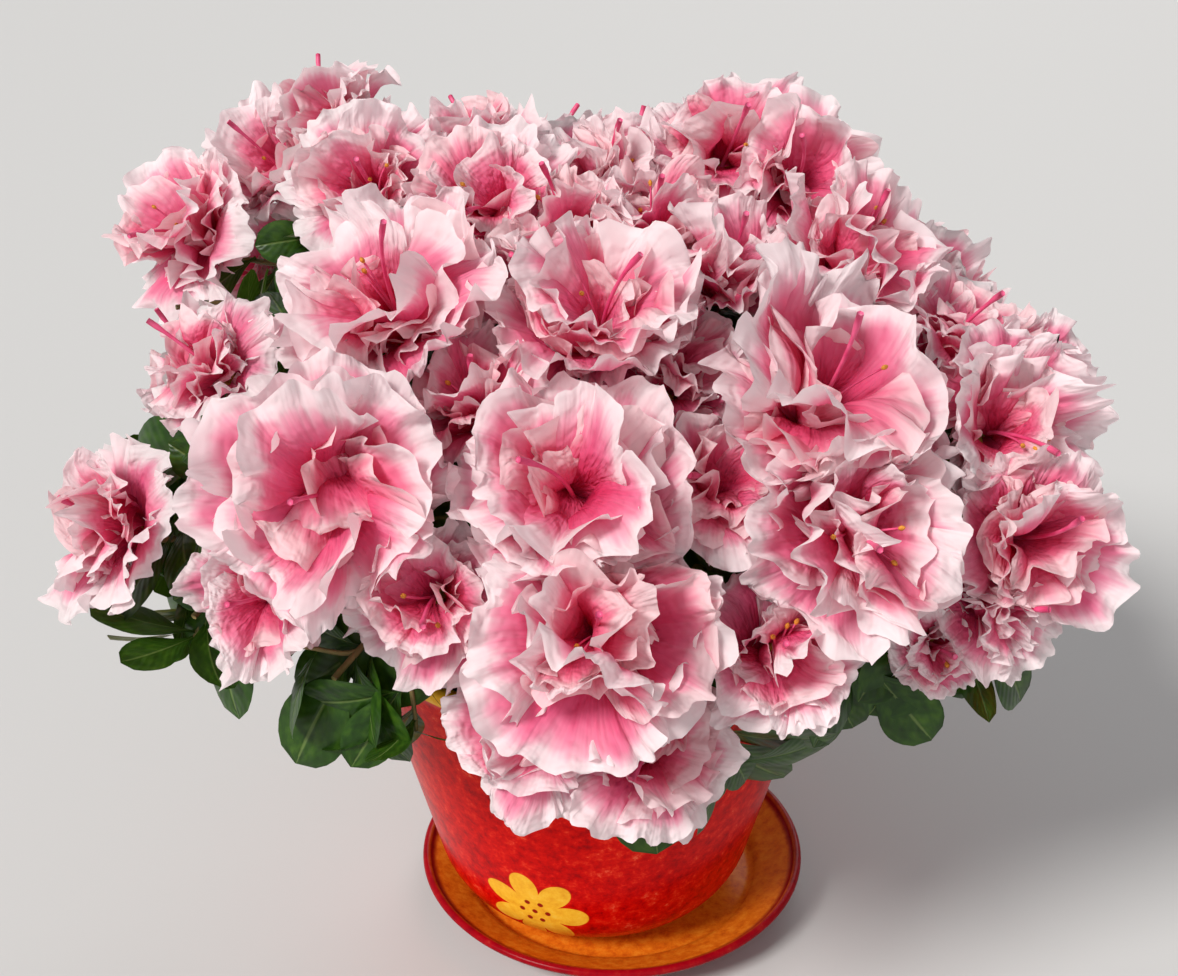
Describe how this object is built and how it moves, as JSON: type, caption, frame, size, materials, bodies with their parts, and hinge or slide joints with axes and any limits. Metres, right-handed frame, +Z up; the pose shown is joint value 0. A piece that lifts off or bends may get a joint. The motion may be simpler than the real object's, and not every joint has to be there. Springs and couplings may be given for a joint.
{
  "type": "potted azalea shrub",
  "caption": "Azalea shrub in full flower: ruffled two-tone pink blooms and dark leaves over a short woody stem, in a flared glazed pot that stands in its saucer.",
  "frame": {"origin": "where the pot's axis meets the saucer's flat underside", "axes": "+Z up from the saucer's underside through the pot, -Y towards the side that the blooms face, +X to that side's right"},
  "size_m": [0.3442, 0.3055, 0.2943],
  "materials": {
    "pot_glaze": "glossy sponged red glaze with a yellow band and a plain painted flower",
    "saucer_glaze": "glossy crimson glaze outside and orange glaze inside",
    "compost": "damp crumbly peat compost",
    "bark": "thin flaking grey-brown bark",
    "petals": "thin satiny petals, pink at the heart and white at the ruffled edge",
    "leaves": "leathery dark green with a soft gloss"
  },
  "bodies": {
    "root": {"saucer": "saucer_glaze", "pot": "pot_glaze", "compost": "compost", "trunk": "bark", "bough_upper_left": "bark", "bough_top_back_left": "bark", "bough_upper_middle": "bark", "bough_right_front": "bark", "bough_centre_left": "bark", "bough_centre": "bark", "bough_top_right": "bark", "bough_right_upper": "bark", "bough_right": "bark", "bough_far_right": "bark", "bough_right_low": "bark", "bough_front_left": "bark", "bough_front": "bark", "bough_front_low": "bark", "bough_front_right_low": "bark", "bough_far_left": "bark", "bough_top_middle": "bark", "bough_left_side": "bark", "bough_back_left": "bark", "bough_back_left_top": "bark", "bough_back_top": "bark", "bough_back": "bark", "bough_back_right_top": "bark", "bough_right_side": "bark", "bough_right_side_low": "bark", "bough_back_right": "bark", "truss_upper_left": "petals", "truss_top_back_left": "petals", "truss_upper_middle": "petals", "truss_right_front": "petals", "truss_centre_left": "petals", "truss_centre": "petals", "truss_top_right": "petals", "truss_right_upper": "petals", "truss_right": "petals", "truss_far_right": "petals", "truss_right_low": "petals", "truss_front_left": "petals", "truss_front": "petals", "truss_front_low": "petals", "truss_front_right_low": "petals", "truss_far_left": "petals", "truss_top_middle": "petals", "truss_left_side": "petals", "truss_back_left": "petals", "truss_back_left_top": "petals", "truss_back_top": "petals", "truss_back": "petals", "truss_back_right_top": "petals", "truss_right_side": "petals", "truss_right_side_low": "petals", "truss_back_right": "petals"}
  },
  "joints": []
}
